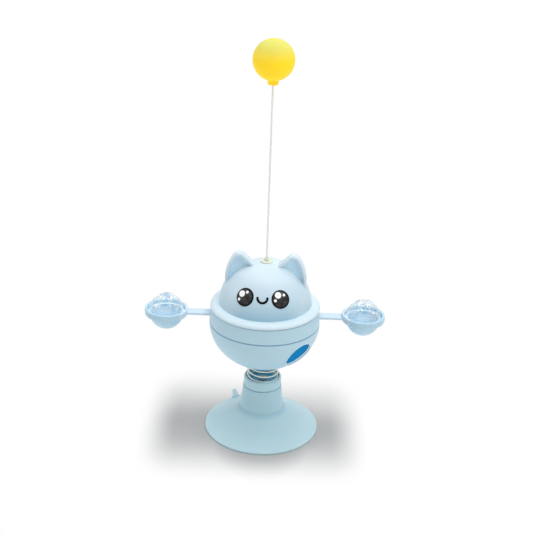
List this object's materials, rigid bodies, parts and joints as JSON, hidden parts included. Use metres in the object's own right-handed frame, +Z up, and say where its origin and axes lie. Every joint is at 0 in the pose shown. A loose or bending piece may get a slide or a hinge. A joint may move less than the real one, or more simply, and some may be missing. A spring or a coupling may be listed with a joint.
{
  "type": "rotating cat toy",
  "caption": "Cat toy with a cat's head on a treat bowl that sways on a coil spring over a suction cup, a turning ring with two cup arms, and a ball on a bending rod.",
  "frame": {"origin": "centre of the suction rim, on the floor", "axes": "+Z up along the spring and the rod, the arms along X, the face towards -Y"},
  "size_m": [0.165, 0.08, 0.279],
  "materials": {
    "cup_pvc": "satin",
    "body_plastic": "satin",
    "head_plastic": "satin",
    "inner_plastic": "satin",
    "spring_steel": "polished",
    "screw_steel": "satin",
    "shutter_plastic": "satin",
    "clear_plastic": "clear",
    "eye_plastic": "gloss",
    "grommet_rubber": "matte",
    "rod_wire": "white coated",
    "ball_plastic": "satin"
  },
  "bodies": {
    "base": {"suction_cup": "cup_pvc", "neck_collar": "body_plastic", "spring_plug": "inner_plastic", "plug_screw": "screw_steel"},
    "spring": {"base_spring": "spring_steel"},
    "bowl": {"spring_cap": "body_plastic", "cap_screws": "screw_steel", "treat_bowl": "body_plastic", "bearing_neck": "body_plastic"},
    "shutter": {"treat_shutter": "shutter_plastic"},
    "turntable": {"turntable_ring": "body_plastic", "left_arm": "body_plastic", "right_arm": "body_plastic", "left_cup": "body_plastic", "right_cup": "body_plastic"},
    "left_cover": {"left_dome": "clear_plastic"},
    "right_cover": {"right_dome": "clear_plastic"},
    "head": {"head_shell": "head_plastic", "left_eye": "eye_plastic", "right_eye": "eye_plastic", "mouth": "eye_plastic", "wire_grommet": "grommet_rubber"},
    "rod_seat": {"grommet_insert": "grommet_rubber"},
    "teaser": {"wire_ferrule": "grommet_rubber", "wire_stop": "screw_steel", "teaser_rod": "rod_wire", "ball_sleeve": "ball_plastic", "teaser_ball": "ball_plastic"}
  },
  "joints": [
    {"name": "sway_side", "type": "hinge", "parent": "base", "child": "spring", "pos_m": [0, 0, 0.0456], "axis": [0, 1, 0], "range_deg": [-12, 12], "stiffness_Nm_per_rad": 0.3, "deforming": ["base_spring"]},
    {"name": "sway_front", "type": "hinge", "parent": "spring", "child": "bowl", "pos_m": [0, 0, 0.0456], "axis": [1, 0, 0], "range_deg": [-12, 12], "stiffness_Nm_per_rad": 0.3, "deforming": ["base_spring"]},
    {"name": "shutter_turn", "type": "hinge", "parent": "bowl", "child": "shutter", "pos_m": [0, 0, 0.0697], "axis": [0, 0, -1], "range_deg": [0, 80]},
    {"name": "turntable_spin", "type": "hinge", "parent": "bowl", "child": "turntable", "pos_m": [0, 0, 0.0887], "axis": [0, 0, 1], "continuous": true},
    {"name": "left_cover_lift", "type": "slide", "parent": "turntable", "child": "left_cover", "axis": [0, 0, 1], "range_m": [0, 0.018]},
    {"name": "right_cover_lift", "type": "slide", "parent": "turntable", "child": "right_cover", "axis": [0, 0, 1], "range_m": [0, 0.018]},
    {"name": "head_lift", "type": "slide", "parent": "bowl", "child": "head", "axis": [0, 0, 1], "range_m": [0, 0.04]},
    {"name": "rod_bend_side", "type": "hinge", "parent": "head", "child": "rod_seat", "pos_m": [0, 0, 0.12755], "axis": [0, 1, 0], "range_deg": [-15, 15], "stiffness_Nm_per_rad": 0.08},
    {"name": "rod_bend_front", "type": "hinge", "parent": "rod_seat", "child": "teaser", "pos_m": [0, 0, 0.12755], "axis": [1, 0, 0], "range_deg": [-15, 15], "stiffness_Nm_per_rad": 0.08}
  ]
}
